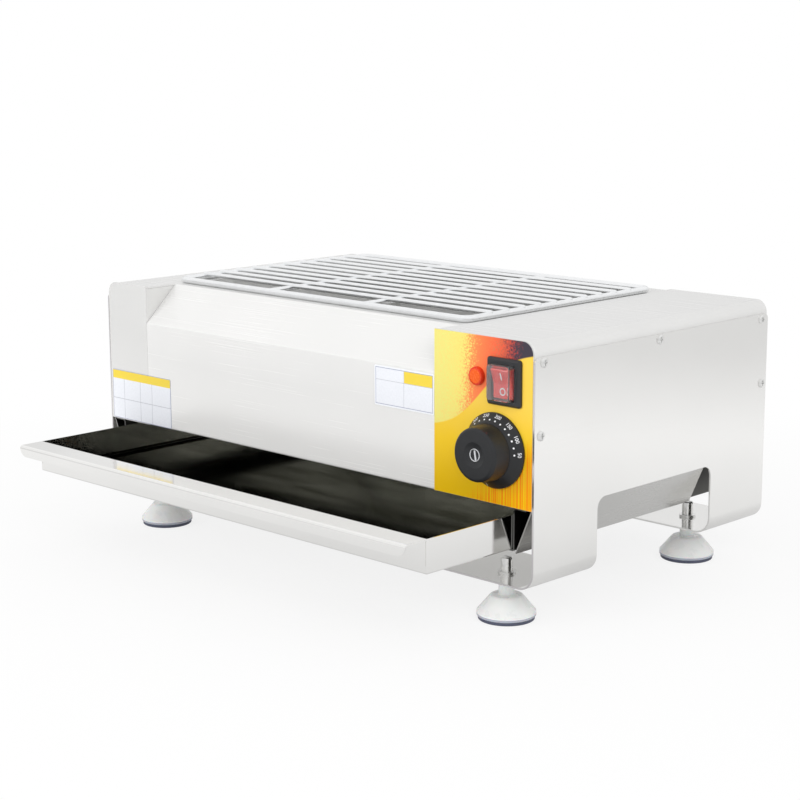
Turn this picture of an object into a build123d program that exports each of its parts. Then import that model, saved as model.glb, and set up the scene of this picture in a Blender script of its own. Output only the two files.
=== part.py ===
from build123d import *
import os

os.makedirs("parts", exist_ok=True)

# Electric tabletop grill with a pull-out drip tray, in millimetres.
# X runs to the right along the front, Y to the back and Z up.
# The floor is Z = 0, and the origin is the middle of the floor area that the grill takes up.

# Casing
body_width = 540.0            # over the outer faces of the two side plates
body_depth = 320.0
deck_height = 235.5           # top of the deck above the floor
casing_bottom = 103.0         # lower edge of the casing
casing_sheet = 1.2
roll_radius = 10.5            # rolled long edges of the end covers
left_box_width = 59.0
control_box_width = 106.4
crease_drop = 34.0            # from the deck to where the front panel starts to lean back
chamfer_depth = 36.0          # how far it leans back by the deck
seam = 0.2                    # butt seam between two sheets
sheet_gap = 0.15              # between a sheet and the sheet that laps it
deck_lap = 10.0               # middle deck that runs on under the cover of the control box
plate_proud = 0.8             # how far the front plates stand above the covers
tab_width = 8.0               # of the tab beside the chamfer
flange_clear = 2.0            # between a folded edge and the end of its neighbour
bend = 2.0                    # outer radius of a folded corner
return_flange = 18.0          # folded edges of the front plates and the rear panel
bottom_flange = 12.0

# Side plates with their legs
side_sheet = 1.5
side_plate_drop = 10.1        # from the deck to the top of a side plate
side_corner_radius = 5.0
leg_roll_radius = 15.0
leg_underside = 37.0
foot_flange_width = 110.0     # from the outer face inwards
notch_front = 80.6            # from the front plane
notch_rear = 238.8
notch_drop = 2.9              # from the lower edge of the casing to the notch
notch_radius = 10.0

# Screws that hold the side plates
screw_radius = 2.0
screw_head_radius = 4.0
screw_head_height = 2.0
screw_length = 7.0
screw_hole_gap = 0.1
upper_screw_edge = 10.5       # from the front and back edges
lower_screw_edge = 7.5
upper_screw_drop = 4.6        # below the top of the side plate
lower_screw_rise = 60.0       # above the lower edge of the casing
recess_width = 0.9
recess_depth = 1.2

# Grate
frame_rod = 6.0               # diameters
grate_bar = 4.5
cross_rod = 5.0
bar_count = 10
bar_step = 2.3                # from the middle of the frame rod up to the middle of a bar
grate_corner_radius = 8.0     # of the frame rod's middle line
grate_over_left_box = 7.5
grate_to_control_box = 5.1
grate_behind_chamfer = 8.0
grate_to_back = 20.0
end_gap_pitches = 1.43        # the gap beside the frame rods, in bar pitches

# Firebox
opening_side_land = 14.0      # deck under the grate, beside the opening
opening_end_land = 10.0       # the same in front of the opening and behind it
firebox_sheet = 1.0
floor_sheet = 1.0
reflector_sheet = 0.8
reflector_drop = 63.5         # from the deck to the reflector's upper edge
reflector_flange = 12.0
reflector_rise = 9.0          # its lower edge above the casing's
reflector_reach = 48.0
reflector_end_gap = 0.3

# Heating elements
element_radius = 4.25
element_drop = 45.5           # from the deck to the middle of the tubes
element_first_leg = 22.0      # from the firebox wall to the nearest leg
element_leg_pitch = 30.0
element_left_gap = 14.0       # from the left wall to the bend
element_pin_radius = 1.75
element_pin_length = 12.0
element_tail = 14.0           # tube beyond the right wall
bush_radius = 7.0
bush_length = 6.0
bush_gap = 0.05
support_inset = 45.0          # from the left wall
support_height = 17.0
support_hole_gap = 0.1

# Drip tray and what carries it
tray_pull = 99.0              # how far the tray stands out at rest
tray_sheet = 1.0
tray_drop = 6.0               # from the casing to the tray's rim
tray_height = 28.0
tray_back_gap = 4.0           # tray to the back plane when it is pushed in
tray_front_gap = 1.0          # tray to the front plane when it is pushed in
tray_side_gap = 0.4
tray_fold = 1.5
handle_depth = 23.5
handle_lip = 10.0
handle_bend = 3.0
handle_corner_radius = 9.0
corner_slit = 0.5             # open butt seam at the tray's front corners
corner_slit_length = 21.0
rail_inset = 21.0             # outer face of the body to the rail's inner face
rail_sheet = 1.2
rail_ledge = 12.5
rail_top_flange = 12.0
slide_gap = 0.3
stop_height = 21.0
skirt_sheet = 1.0
skirt_top_flange = 14.0
skirt_drop = 2.0              # below the rail
skirt_rear = 234.0            # from the front plane

# Levelling feet
foot_inset = 49.6             # from the outer face of the side plate
front_foot = 25.7             # from the front plane
rear_foot = 275.7
stud_radius = 5.0
stud_rise = 15.5              # above the flange
stud_slot = 1.4
thread_gap = 0.05
nut_radius = 7.4
nut_height = 1.8
flange_hole_gap = 0.3
neck_radius = 6.6
neck_gap = 0.3
cone_top = 20.5
cone_top_radius = 12.8
cone_bottom = 7.0
foot_radius = 24.5
pad_height = 3.0
pad_inset = 1.0
moulded_gap = 0.02

# Control panel
overlay_thickness = 0.5
overlay_margin = 0.3
dial_x = 39.5                 # from the outer face of the side plate
dial_to_switch = 6.45         # between the numbered rim and the bezel
skirt_radius = 30.75
skirt_edge = 1.6
skirt_rise = 7.5              # height of the numbered cone
dial_gap = 0.4                # behind the turning skirt
knob_base_radius = 23.0
knob_front_radius = 21.7
knob_depth = 16.5
knob_bore_roof = 3.0          # plastic between the dish and the bore
knob_edge_radius = 3.0
dish_radius = 10.5
dish_depth = 2.0
shaft_radius = 3.0
shaft_flat = 2.2
shaft_gap = 0.05
shaft_hole_gap = 2.0
shaft_end_gap = 0.5
thermostat_size = 34.0
thermostat_depth = 30.0
thermostat_bracket = 1.0
terminal_spread = 8.0         # of its two terminals, each way from the middle
bracket_width = 42.0
bracket_height = 24.0
bracket_screw_pitch = 36.0
bracket_screw_head = 3.4
bracket_screw_grip = 2.0      # beyond the bracket
sensor_radius = 3.0
sensor_length = 90.0
sensor_drop = 40.0            # below the heating elements
capillary_radius = 0.8
capillary_hole_gap = 0.4
switch_x = 29.8               # from the outer face of the side plate
switch_drop = 32.3            # from the deck to the middle of the switch
bezel_width = 35.0
bezel_height = 38.0
bezel_depth = 3.5
bezel_bevel = 1.8
switch_body_width = 27.0
switch_body_height = 32.0
switch_body_depth = 28.0
cutout_gap = 0.2
rocker_width = 19.0
rocker_height = 25.0
rocker_side_gap = 0.5
rocker_end_gap = 1.5
rocker_rise = 8.0             # its ends in front of the pivot
rocker_face_dip = 1.9         # the middle of the face behind its ends
rocker_heel = 4.0             # its back behind the pivot
cavity_depth = 14.0
rocker_pin_radius = 1.5
rocker_pin_gap = 0.05
rocker_pin_length = 2.5
rocker_pivot_depth = 3.0      # behind the bezel's back
rocker_angle = 10.0           # tilt at rest, to either side of the middle
cover_wall = 0.8
cover_width = 24.0
cover_height = 29.0
cover_front = 10.0            # in front of the overlay
cover_gap = 0.1
blade_width = 6.3
blade_thickness = 0.8
blade_length = 8.0
blade_spread = 6.5
blade_drop = 8.0
lamp_x = 58.8                 # from the outer face of the side plate
lamp_over_switch = 1.5        # middle to middle
lamp_lens_radius = 7.5
lamp_rim = 2.2
lamp_dome_radius = 6.9
lamp_dome_height = 1.7
lamp_ring = 2.0               # width of the ring that grips the plate
lamp_ring_depth = 2.5
lamp_body_radius = 5.8
lamp_body_depth = 24.0

# Electrical pieces at the back of the control box
gland_x = 55.0                # from the outer face of the side plate
gland_rise = 37.0             # above the lower edge of the casing
gland_reach = 16.0            # behind the body
gland_thread_radius = 8.0
gland_hex_radius = 11.5       # across corners
gland_hex_height = 7.0
gland_bore_radius = 4.0
gland_inner_length = 9.0
locknut_height = 4.0
block_length = 50.0
block_width = 22.0
block_height = 20.0
block_to_back = 70.0
block_x = 65.0                # from the outer face of the side plate
block_bore = 2.2
block_screw_bore = 2.6
way_pitch = 15.6
earth_to_back = 30.0
earth_radius = 2.5
earth_height = 16.0
earth_nut_radius = 4.6
earth_nut_height = 4.0
vent_count = 6
vent_width = 3.0
vent_height = 30.0
vent_pitch = 10.0
vent_drop = 21.5              # from the deck to the upper ends
wire_radius = 1.2
wire_bend = 7.0
wire_end_gap = 0.3
switch_lead_run = 110.0       # forward from the terminal block, along its floor
blade_lead_run = 20.0         # behind the switch's terminals
body_lead_run = 24.0          # behind the thermostat
pin_lead_run = 15.0           # beyond the pins of the elements
pin_lead_step = 4.0           # between leads that pass each other there
lamp_lead_run = 60.0          # behind the lamp
block_lead_run = 32.0         # in front of the terminal block

# Places that several pieces share
front_y = (tray_pull + handle_depth - body_depth - gland_reach) / 2
back_y = front_y + body_depth
side_x = body_width / 2
cover_x = side_x - side_sheet
inner_x = cover_x - casing_sheet
left_seam = -side_x + left_box_width
right_seam = side_x - control_box_width
under_deck = deck_height - casing_sheet
control_top = deck_height + sheet_gap + casing_sheet
panel_back = front_y + casing_sheet
crease_height = deck_height - crease_drop
flange_low = casing_bottom + skirt_top_flange + flange_clear
flange_high = deck_height - roll_radius - flange_clear

grate_left = left_seam - grate_over_left_box
grate_right = right_seam - grate_to_control_box
grate_front = front_y + chamfer_depth + grate_behind_chamfer
grate_back = back_y - grate_to_back
opening_left = grate_left + opening_side_land
opening_right = grate_right - opening_side_land
opening_front = grate_front + opening_end_land
opening_back = grate_back - opening_end_land
wall_bottom = casing_bottom + floor_sheet
reflector_top = deck_height - reflector_drop
reflector_bottom = casing_bottom + reflector_rise
element_height = deck_height - element_drop
sensor_height = element_height - sensor_drop

rail_inner = side_x - rail_inset
rail_outer = rail_inner + rail_sheet
tray_top = casing_bottom - tray_drop
tray_bottom = tray_top - tray_height
ledge_top = tray_bottom - slide_gap
ledge_bottom = ledge_top - rail_sheet
tray_half = rail_inner - tray_side_gap
tray_front = front_y - tray_pull
tray_length = body_depth - tray_back_gap - tray_front_gap
tray_back = tray_front + tray_length
skirt_outer = inner_x - sheet_gap

foot_x = side_x - foot_inset
foot_places = {
    "front_left": (-foot_x, front_y + front_foot),
    "front_right": (foot_x, front_y + front_foot),
    "rear_left": (-foot_x, front_y + rear_foot),
    "rear_right": (foot_x, front_y + rear_foot),
}
stud_top = leg_underside + stud_rise
side_plate_top = deck_height - side_plate_drop
notch_top = casing_bottom - notch_drop
upper_screw_height = side_plate_top - upper_screw_drop
lower_screw_height = casing_bottom + lower_screw_rise
screw_places = [
    (front_y + upper_screw_edge, upper_screw_height),
    (front_y + body_depth / 2, upper_screw_height),
    (back_y - upper_screw_edge, upper_screw_height),
    (front_y + lower_screw_edge, lower_screw_height),
    (back_y - lower_screw_edge, lower_screw_height),
]
overlay_front = front_y - overlay_thickness
dial_centre = side_x - dial_x
skirt_back = overlay_front - dial_gap
knob_back = skirt_back - skirt_edge - skirt_rise
knob_front = knob_back - knob_depth
switch_centre = side_x - switch_x
switch_height = deck_height - switch_drop
dial_height = switch_height - bezel_height / 2 - dial_to_switch - skirt_radius
lamp_height = switch_height + lamp_over_switch
rocker_pivot_y = overlay_front + rocker_pivot_depth
lamp_centre = side_x - lamp_x
gland_centre = side_x - gland_x
gland_height = casing_bottom + gland_rise
vent_top = deck_height - vent_drop
block_centre = (side_x - block_x, back_y - block_to_back)
element_legs = {
    "front": (opening_front + element_first_leg, opening_front + element_first_leg + element_leg_pitch),
    "rear": (opening_back - element_first_leg, opening_back - element_first_leg - element_leg_pitch),
}


def block(x, y, z):
    """A box between the two limits given for each axis."""
    size = [limits[1] - limits[0] for limits in (x, y, z)]
    middle = [(limits[0] + limits[1]) / 2 for limits in (x, y, z)]
    return Pos(*middle) * Box(*size)


def rod(start, end, radius):
    """A round bar between two points."""
    start = Vector(*start)
    end = Vector(*end)
    length = (end - start).length
    place = Plane(origin=start, z_dir=end - start)
    return place * Cylinder(radius, length, align=(Align.CENTER, Align.CENTER, Align.MIN))


def along_x(face, start, end):
    """Extrude a face drawn in Y and Z between two X values."""
    return extrude(Plane((start, 0, 0), x_dir=(0, 1, 0), z_dir=(1, 0, 0)) * face, amount=end - start)


def along_y(face, start, end):
    """Extrude a face drawn in X and Z between two Y values."""
    return extrude(Plane((0, start, 0), x_dir=(1, 0, 0), z_dir=(0, -1, 0)) * face, amount=start - end)


def folded(points, radius, thickness, side):
    """The section of a sheet whose one surface follows the points, with its thickness on one side."""
    surface = FilletPolyline(*points, radius=radius)
    return make_face(offset(surface, amount=thickness, side=side, closed=True).edges())


def polygon(points):
    return make_face(Polyline(*points, close=True))


def mirrored(part):
    return mirror(part, about=Plane.YZ)


def revolved(points, centre, axis_direction):
    """Turn an outline of (radius, distance along the axis) points about an axis."""
    outline = make_face(Polyline(*points, close=True))
    solid = revolve(Plane.XZ * outline, axis=Axis.Z)
    return Plane(origin=centre, z_dir=axis_direction) * solid


def screw_holes(side, start, end):
    """Clearance holes for the side screws between two X values on one side of the body."""
    holes = [rod((side * start, y, z), (side * end, y, z), screw_radius + screw_hole_gap)
             for y, z in screw_places]
    return Part() + holes


def box_edges(side):
    """Where an end box meets the middle of the grill, and the height of its top."""
    return (left_seam, deck_height) if side < 0 else (right_seam, control_top)


def end_cover(side):
    """The folded cover of an end box: its deck, rolled edge and side wall."""
    seam_x, top = box_edges(side)
    section = folded([(side * cover_x, casing_bottom), (side * cover_x, top), (seam_x, top)],
                     roll_radius, casing_sheet, Side.RIGHT if side < 0 else Side.LEFT)
    cover = along_y(section, panel_back + sheet_gap, back_y)
    return cover - screw_holes(side, inner_x - 1, cover_x + 1)


def middle_shell():
    """Front panel, leaning chamfer and deck in one folded sheet, with the opening under the grate."""
    section = folded([(front_y + bottom_flange, casing_bottom), (front_y, casing_bottom),
                      (front_y, crease_height), (front_y + chamfer_depth, deck_height),
                      (back_y, deck_height)], bend, casing_sheet, Side.RIGHT)
    shell = along_x(section, left_seam + seam, right_seam - seam)
    shell += block((right_seam - seam, right_seam + deck_lap),
                   (front_y + chamfer_depth + tab_width + seam, back_y), (under_deck, deck_height))
    opening = block((opening_left, opening_right), (opening_front, opening_back),
                    (under_deck - 1, deck_height + 1))
    return shell - opening


def front_outline(side, margin):
    """The outline of an end box's front, drawn in by a margin."""
    seam_x, top = box_edges(side)
    near = seam_x + side * margin
    far = side * (cover_x - sheet_gap - margin)
    low = casing_bottom + margin
    high = top + plate_proud - margin
    face = polygon([(near, low), (far, low), (far, high), (near, high)])
    outer_corner = [v for v in face.vertices() if abs(v.X - far) < 0.01 and abs(v.Y - high) < 0.01]
    return fillet(outer_corner, roll_radius - margin)


def front_plate(side):
    """The flat front of an end box, with a return along the side wall and a tab that closes
    the triangle above the chamfer."""
    seam_x, box_top = box_edges(side)
    plate = along_y(front_outline(side, 0), front_y, panel_back)
    edge_x = side * (inner_x - sheet_gap)
    flange = block(sorted((edge_x, edge_x - side * casing_sheet)), (front_y, front_y + return_flange),
                   (flange_low, flange_high))
    top = box_top - casing_sheet - sheet_gap
    tab_back = front_y + chamfer_depth + tab_width
    tab_face = polygon([(front_y, crease_height - tab_width), (front_y, top),
                        (tab_back, top), (tab_back, top - tab_width)])
    tab = along_x(tab_face, *sorted((seam_x, seam_x + side * casing_sheet)))
    plate = plate + flange + tab
    return plate - screw_holes(side, inner_x - casing_sheet - 1, inner_x)


def control_plate():
    """The front of the control box, cut out for the dial shaft, the switch and the lamp."""
    plate = front_plate(1)
    cuts = [
        rod((dial_centre, front_y - 1, dial_height), (dial_centre, panel_back + 1, dial_height),
            shaft_radius + shaft_hole_gap),
        rod((lamp_centre, front_y - 1, lamp_height), (lamp_centre, panel_back + 1, lamp_height),
            lamp_body_radius + cutout_gap),
        switch_cutout(front_y - 1, panel_back + 1),
    ]
    for x in bracket_screw_xs():
        cuts.append(rod((x, front_y - 1, dial_height), (x, front_y + 1, dial_height),
                        bracket_screw_head + cutout_gap))
        cuts.append(rod((x, front_y, dial_height), (x, panel_back + 1, dial_height),
                        screw_radius + screw_hole_gap))
    return plate - cuts


def switch_cutout(start, end):
    half_width = switch_body_width / 2 + cutout_gap
    half_height = switch_body_height / 2 + cutout_gap
    return block((switch_centre - half_width, switch_centre + half_width), (start, end),
                 (switch_height - half_height, switch_height + half_height))


def bracket_screw_xs():
    return (dial_centre - bracket_screw_pitch / 2, dial_centre + bracket_screw_pitch / 2)


def rear_panel():
    """Flat back with folded side returns, vent slots and the hole of the cable gland."""
    edge_x = inner_x - sheet_gap
    top = under_deck - sheet_gap
    face = polygon([(-edge_x, casing_bottom), (edge_x, casing_bottom), (edge_x, top), (-edge_x, top)])
    face = fillet(face.vertices().group_by(Axis.Y)[-1], roll_radius - casing_sheet)
    panel = along_y(face, back_y - casing_sheet, back_y)
    for side in (-1, 1):
        limits = sorted((side * edge_x, side * (edge_x - casing_sheet)))
        panel += block(limits, (back_y - return_flange, back_y), (flange_low, flange_high))
        panel -= screw_holes(side, inner_x - casing_sheet - 1, inner_x)
    panel -= rod((gland_centre, back_y - 3, gland_height), (gland_centre, back_y + 1, gland_height),
                 gland_thread_radius + screw_hole_gap)
    for index in range(vent_count):
        x = gland_centre + (index - (vent_count - 1) / 2) * vent_pitch
        slot = SlotCenterToCenter(vent_height - vent_width, vent_width, rotation=90)
        slot = Pos(x, vent_top - vent_height / 2) * slot
        panel -= along_y(slot, back_y - 3, back_y + 1)
    return panel


def side_plate():
    """The right side plate: a flat skin, two legs and their rolled flanges, with the holes of the feet."""
    section = folded([(side_x, side_plate_top), (side_x, leg_underside),
                      (side_x - foot_flange_width, leg_underside)],
                     leg_roll_radius, side_sheet, Side.RIGHT)
    plate = along_y(section, front_y, back_y)
    notch_face = polygon([(front_y + notch_front, 0), (front_y + notch_rear, 0),
                          (front_y + notch_rear, notch_top), (front_y + notch_front, notch_top)])
    notch_face = fillet(notch_face.vertices().group_by(Axis.Y)[-1], notch_radius)
    plate -= along_x(notch_face, side_x - foot_flange_width - 1, side_x + 1)
    top_edges = [e for e in plate.edges().filter_by(Axis.X)
                 if abs(e.center().Z - side_plate_top) < 0.01]
    plate = fillet(top_edges, side_corner_radius)
    for name in ("front_right", "rear_right"):
        x, y = foot_places[name]
        plate -= rod((x, y, leg_underside - 1), (x, y, leg_underside + side_sheet + 1),
                     stud_radius + flange_hole_gap)
    return plate - screw_holes(1, cover_x - 1, side_x + 1)


def side_screw(y, z):
    """One pan-head screw of the right side, with a cross recess."""
    tip = side_x - screw_length
    crown = side_x + screw_head_height
    outline = [(0, -screw_length), (screw_radius, -screw_length), (screw_radius, 0), (screw_head_radius, 0),
               (screw_head_radius, screw_head_height * 0.4),
               (screw_head_radius * 0.7, screw_head_height * 0.85), (0, screw_head_height)]
    screw = revolved(outline, (side_x, y, z), (1, 0, 0))
    arm = screw_head_radius * 0.55
    recess_floor = crown - recess_depth
    half = recess_width / 2
    screw -= block((recess_floor, crown + 1), (y - arm, y + arm), (z - half, z + half))
    screw -= block((recess_floor, crown + 1), (y - half, y + half), (z - arm, z + arm))
    return screw


def side_screws():
    return Part() + [side_screw(y, z) for y, z in screw_places]


def firebox_side_wall(side):
    """A wall at the left or right end of the firebox; the right one is pierced for the elements."""
    inner = opening_left if side < 0 else opening_right
    wall = block(sorted((inner, inner + side * firebox_sheet)),
                 (opening_front - firebox_sheet, opening_back + firebox_sheet), (wall_bottom, under_deck))
    if side > 0:
        for legs in element_legs.values():
            for y in legs:
                wall -= rod((inner - 1, y, element_height), (inner + 2, y, element_height),
                            element_radius + support_hole_gap)
        wall -= rod((inner - 1, capillary_y(), sensor_height), (inner + 2, capillary_y(), sensor_height),
                    capillary_radius + capillary_hole_gap)
    return wall


def firebox_long_wall(side):
    """The front or rear wall of the firebox, between the two end walls."""
    inner = opening_front if side < 0 else opening_back
    return block((opening_left, opening_right), sorted((inner, inner + side * firebox_sheet)),
                 (wall_bottom, under_deck))


def reflector(side):
    """A sheet that leans from a long wall of the firebox towards the tray."""
    wall = opening_front if side < 0 else opening_back
    section = folded([(wall, reflector_top), (wall, reflector_top - reflector_flange),
                      (wall - side * reflector_reach, reflector_bottom)],
                     bend, reflector_sheet, Side.LEFT if side < 0 else Side.RIGHT)
    return along_x(section, opening_left + reflector_end_gap, opening_right - reflector_end_gap)


def box_floor(side):
    """The sheet that closes an end box from below."""
    inner = opening_left if side < 0 else opening_right
    outer = side * (inner_x - sheet_gap - skirt_sheet - sheet_gap)
    front = front_y + bottom_flange + sheet_gap
    back = back_y - casing_sheet - sheet_gap
    return block(sorted((inner, outer)), (front, back), (casing_bottom, wall_bottom))


def heating_element(legs):
    """A hairpin tube with its two ends through the right wall and a pin on each."""
    near, far = legs
    middle = (near + far) / 2
    bend_radius = abs(far - near) / 2
    bend_x = opening_left + element_left_gap + bend_radius
    end_x = opening_right + firebox_sheet + element_tail
    element = Part()
    for y in legs:
        element += rod((bend_x, y, element_height), (end_x, y, element_height), element_radius)
        element += rod((end_x - 1, y, element_height), (end_x + element_pin_length, y, element_height),
                       element_pin_radius)
    ring = Pos(bend_x, middle, element_height) * Torus(bend_radius, element_radius)
    reach = bend_radius + element_radius + 1
    half = block((bend_x - reach, bend_x), (middle - reach, middle + reach),
                 (element_height - reach, element_height + reach))
    return element + (ring & half)


def element_bushes():
    """The collars that seal the element tubes at the right wall."""
    wall = opening_right + firebox_sheet
    bushes = []
    for legs in element_legs.values():
        for y in legs:
            start = (wall, y, element_height)
            end = (wall + bush_length, y, element_height)
            bushes.append(rod(start, end, bush_radius) - rod(start, end, element_radius + bush_gap))
    return Part() + bushes


def element_supports():
    """Two upright strips on the long walls that carry the hairpins near the left end."""
    low = element_height - support_height / 2
    high = element_height + support_height / 2
    left = opening_left + support_inset
    right = left + firebox_sheet
    strips = []
    for name, wall in (("front", opening_front), ("rear", opening_back)):
        legs = element_legs[name]
        far = legs[1] + (legs[1] - wall) / abs(legs[1] - wall) * 2 * element_radius
        strip = block((left, right), sorted((wall, far)), (low, high))
        for y in legs:
            strip -= rod((left - 1, y, element_height), (right + 1, y, element_height),
                         element_radius + support_hole_gap)
        strips.append(strip)
    return Part() + strips


def tray_rail():
    """The right rail: it hangs from the floor of the end box and carries the tray on its ledge."""
    flange_under = casing_bottom - rail_sheet
    section = folded([(rail_inner - rail_ledge, ledge_bottom), (rail_outer, ledge_bottom),
                      (rail_outer, flange_under), (rail_outer + rail_top_flange, flange_under)],
                     bend, rail_sheet, Side.LEFT)
    back = back_y - casing_sheet - sheet_gap
    rail = along_y(section, front_y + seam, back)
    stop = block((rail_inner - rail_ledge, rail_inner), (back_y - tray_back_gap + slide_gap, back),
                 (ledge_top, ledge_top + stop_height))
    return rail + stop


def tray_skirt():
    """The leaning sheet between the right side wall and the rail."""
    lip_x = rail_outer + skirt_sheet
    lip_bottom = ledge_bottom - skirt_drop
    section = folded([(skirt_outer, casing_bottom + skirt_top_flange), (skirt_outer, casing_bottom - 1),
                      (lip_x, lip_bottom)], bend, skirt_sheet, Side.RIGHT)
    return along_y(section, panel_back + sheet_gap, front_y + skirt_rear)


def drip_tray():
    """The pull-out tray with a folded handle along its front."""
    outer = block((-tray_half, tray_half), (tray_front, tray_back), (tray_bottom, tray_top))
    bottom_edges = outer.edges().group_by(Axis.Z)[0]
    outer = fillet(bottom_edges, tray_fold)
    inside = block((-tray_half + tray_sheet, tray_half - tray_sheet),
                   (tray_front + tray_sheet, tray_back - tray_sheet),
                   (tray_bottom + tray_sheet, tray_top + 1))
    inside = fillet(inside.edges().group_by(Axis.Z)[0], tray_fold - tray_sheet / 2)
    handle_front = tray_front - handle_depth
    section = folded([(tray_front + tray_sheet, tray_top), (handle_front, tray_top),
                      (handle_front, tray_top - handle_lip)], handle_bend, tray_sheet, Side.LEFT)
    handle = along_x(section, -tray_half, tray_half)
    lip_corners = [e for e in handle.edges().filter_by(Axis.Y)
                   if abs(e.center().Z - (tray_top - handle_lip)) < 0.01
                   and abs(abs(e.center().X) - tray_half) < 0.01]
    handle = fillet(lip_corners, handle_corner_radius)
    tray = (outer - inside) + handle
    for side in (-1, 1):
        edge = side * (tray_half - tray_sheet)
        limits = sorted((edge, edge - side * corner_slit))
        tray -= block(limits, (tray_front - 1, tray_front + tray_sheet / 2),
                      (tray_top - corner_slit_length, tray_top - tray_sheet - 1))
    return tray


def grate():
    """The cooking grate: a rod frame, bars across it and two rods under the bars, all welded."""
    frame_radius = frame_rod / 2
    bar_radius = grate_bar / 2
    frame_z = deck_height + frame_radius
    left = grate_left + frame_radius
    right = grate_right - frame_radius
    front = grate_front + frame_radius
    back = grate_back - frame_radius
    middle = Pos((left + right) / 2, (front + back) / 2, frame_z)
    loop = (middle * RectangleRounded(right - left, back - front, grate_corner_radius)).wire()
    frame = sweep(Plane(origin=loop @ 0, z_dir=loop % 0) * Circle(frame_radius), path=loop)
    pieces = []
    bar_z = frame_z + bar_step
    pitch = (back - front) / (bar_count - 1 + 2 * end_gap_pitches)
    for index in range(bar_count):
        y = front + (index + end_gap_pitches) * pitch
        pieces.append(rod((left, y, bar_z), (right, y, bar_z), bar_radius))
        pieces += [Pos(x, y, bar_z) * Sphere(bar_radius) for x in (left, right)]
    for third in (1, 2):
        x = left + (right - left) * third / 3
        pieces.append(rod((x, front, frame_z), (x, back, frame_z), cross_rod / 2))
    return frame + pieces


def control_overlay():
    """The printed film on the front of the control box."""
    film = along_y(front_outline(1, overlay_margin), overlay_front, front_y)
    film -= rod((dial_centre, overlay_front - 1, dial_height), (dial_centre, front_y + 1, dial_height),
                shaft_radius + shaft_hole_gap)
    film -= rod((lamp_centre, overlay_front - 1, lamp_height), (lamp_centre, front_y + 1, lamp_height),
                lamp_body_radius + cutout_gap)
    return film - switch_cutout(overlay_front - 1, front_y + 1)


def dial_skirt():
    """The numbered cone behind the knob; it turns with the knob."""
    bore = shaft_radius + moulded_gap
    outline = [(bore, 0), (skirt_radius, 0), (skirt_radius, skirt_edge),
               (knob_base_radius + 0.3, skirt_edge + skirt_rise), (bore, skirt_edge + skirt_rise)]
    return revolved(outline, (dial_centre, skirt_back, dial_height), (0, -1, 0))


def thermostat_knob():
    """The round grip with a rounded rim and a dished middle."""
    grip = Cone(knob_base_radius, knob_front_radius, knob_depth,
                align=(Align.CENTER, Align.CENTER, Align.MIN))
    rim = grip.edges().group_by(Axis.Z)[-1]
    grip = fillet(rim, knob_edge_radius)
    dish_sphere = (dish_radius ** 2 + dish_depth ** 2) / (2 * dish_depth)
    grip -= Pos(0, 0, knob_depth + dish_sphere - dish_depth) * Sphere(dish_sphere)
    bore_depth = knob_depth - dish_depth - knob_bore_roof
    bore = Cylinder(shaft_radius + moulded_gap, bore_depth, align=(Align.CENTER, Align.CENTER, Align.MIN))
    grip -= bore
    return Plane(origin=(dial_centre, knob_back, dial_height), z_dir=(0, -1, 0)) * grip


def thermostat_shaft():
    """The flatted shaft between the thermostat and the knob."""
    front = knob_back - (knob_depth - dish_depth - knob_bore_roof) + shaft_end_gap
    back = panel_back + thermostat_bracket + thermostat_depth / 2
    shaft = rod((dial_centre, front, dial_height), (dial_centre, back, dial_height), shaft_radius)
    flat = block((dial_centre - shaft_radius, dial_centre + shaft_radius), (front - 1, knob_back),
                 (dial_height + shaft_flat, dial_height + shaft_radius + 1))
    return shaft - flat


def thermostat_body():
    """The switch part of the thermostat on its bracket, behind the control plate."""
    bracket = block((dial_centre - bracket_width / 2, dial_centre + bracket_width / 2),
                    (panel_back, panel_back + thermostat_bracket),
                    (dial_height - bracket_height / 2, dial_height + bracket_height / 2))
    half = thermostat_size / 2
    front = panel_back + thermostat_bracket
    case = block((dial_centre - half + 3, dial_centre + half - 3), (front, front + thermostat_depth),
                 (dial_height - half, dial_height + half))
    case = fillet(case.edges().filter_by(Axis.Y), 3)
    body = bracket + case
    body -= rod((dial_centre, panel_back - 1, dial_height),
                (dial_centre, front + thermostat_depth / 2 + 1, dial_height), shaft_radius + shaft_gap)
    for x in bracket_screw_xs():
        body -= rod((x, panel_back - 1, dial_height), (x, front + 8, dial_height),
                    screw_radius + moulded_gap)
    return body


def thermostat_screws():
    """Two flat screws under the film that hold the thermostat's bracket."""
    screws = []
    for x in bracket_screw_xs():
        head = rod((x, front_y + 0.02, dial_height), (x, front_y + 0.98, dial_height), bracket_screw_head)
        shank = rod((x, front_y + 0.9, dial_height),
                    (x, panel_back + thermostat_bracket + bracket_screw_grip, dial_height), screw_radius)
        screws.append(head + shank)
    return Part() + screws


def capillary_y():
    """Where the sensor's thin tube passes the firebox wall."""
    return (opening_front + opening_back) / 2 - sensor_length / 2 - 16


def thermostat_sensor():
    """The bulb beside the firebox wall and the thin tube that joins it to the thermostat."""
    x = opening_right - sensor_radius - 0.3
    middle = (opening_front + opening_back) / 2
    bulb_front = middle - sensor_length / 2
    bulb = rod((x, bulb_front, sensor_height), (x, middle + sensor_length / 2, sensor_height), sensor_radius)
    body_back = panel_back + thermostat_bracket + thermostat_depth
    route = FilletPolyline((x, bulb_front + 2, sensor_height), (x, capillary_y(), sensor_height),
                           (dial_centre - 4, capillary_y(), sensor_height),
                           (dial_centre - 4, body_back + 0.2, sensor_height), radius=7)
    section = Plane(origin=route @ 0, z_dir=route % 0) * Circle(capillary_radius)
    return bulb + sweep(section, path=route)


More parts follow.
